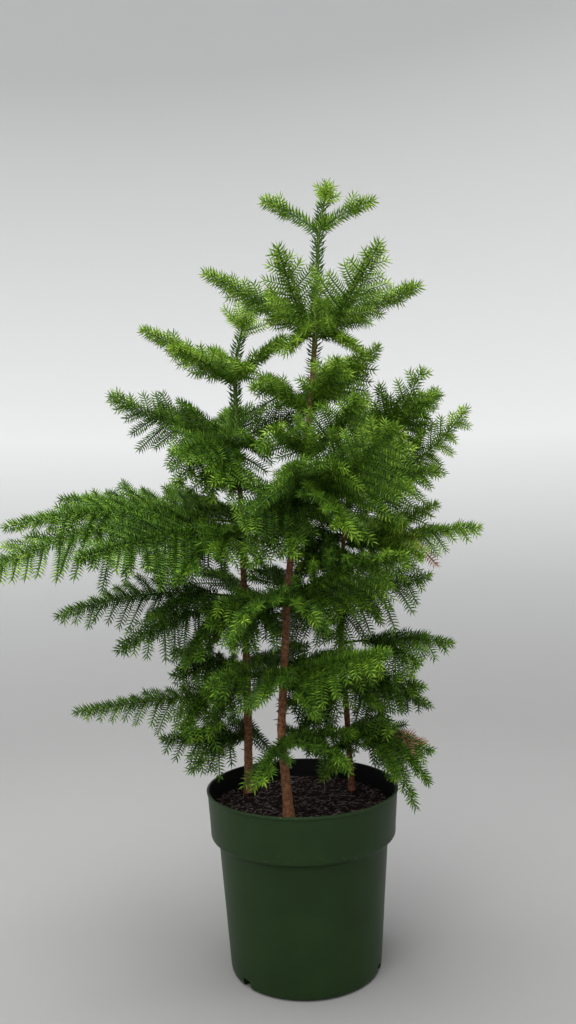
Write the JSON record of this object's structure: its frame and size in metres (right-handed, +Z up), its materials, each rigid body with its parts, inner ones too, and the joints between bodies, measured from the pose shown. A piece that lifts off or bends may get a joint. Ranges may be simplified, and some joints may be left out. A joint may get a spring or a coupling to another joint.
{
  "type": "potted norfolk island pine",
  "caption": "Young norfolk island pine seedlings in a round nursery pot: slender bare-barked stems with tiers of flat, needled sprays and soft green tops.",
  "frame": {"origin": "centre of the flat underside of the pot, on the surface it stands on", "axes": "+Z up along the pot's axis to the top of the tallest stem, -Y towards the viewer's side, +X to the viewer's right"},
  "size_m": [0.6978, 0.4599, 1.097],
  "materials": {
    "pot": "satin moulded polypropylene, dark green",
    "soil": "moist peat, matt",
    "bark": "rough reddish-brown bark with needle scars",
    "young_bark": "young green-brown bark",
    "needles": "waxy green needles",
    "fresh_needles": "soft yellow-green new needles"
  },
  "bodies": {
    "root": {"bough_centre_4a": "young_bark", "bough_left_4a": "young_bark", "bough_left_5a": "young_bark", "bough_left_6a": "young_bark", "bough_right_4a": "young_bark", "pot": "pot", "soil": "soil", "sprays_centre_1a": "needles", "sprays_centre_1b": "needles", "sprays_centre_2a": "needles", "sprays_centre_2b": "needles", "sprays_centre_2c": "needles", "sprays_centre_3a": "needles", "sprays_centre_3b": "needles", "sprays_centre_4a": "needles", "sprays_centre_4b": "needles", "sprays_centre_4c": "needles", "sprays_centre_4d": "needles", "sprays_centre_4e": "needles", "sprays_centre_5a": "needles", "sprays_centre_5b": "needles", "sprays_centre_5c": "needles", "sprays_centre_6a": "needles", "sprays_centre_6b": "needles", "sprays_centre_6c": "needles", "sprays_centre_7a": "needles", "sprays_left_2a": "needles", "sprays_left_2b": "needles", "sprays_left_2c": "needles", "sprays_left_3a": "needles", "sprays_left_3b": "needles", "sprays_left_3c": "needles", "sprays_left_3d": "needles", "sprays_left_4a": "needles", "sprays_left_4b": "needles", "sprays_left_4c": "needles", "sprays_left_4d": "needles", "sprays_left_5a": "needles", "sprays_left_5b": "needles", "sprays_left_5c": "needles", "sprays_left_6a": "needles", "sprays_left_6b": "needles", "sprays_left_7a": "needles", "sprays_right_1a": "needles", "sprays_right_2a": "needles", "sprays_right_2b": "needles", "sprays_right_2c": "needles", "sprays_right_3a": "needles", "sprays_right_3b": "needles", "sprays_right_3c": "needles", "sprays_right_4a": "needles", "sprays_right_4b": "needles", "sprays_right_5a": "needles", "sprays_right_6a": "needles", "trunk_centre": "bark", "trunk_left": "bark", "trunk_right": "bark", "tuft_centre": "fresh_needles", "tuft_left": "fresh_needles", "tuft_right": "fresh_needles"}
  },
  "joints": []
}
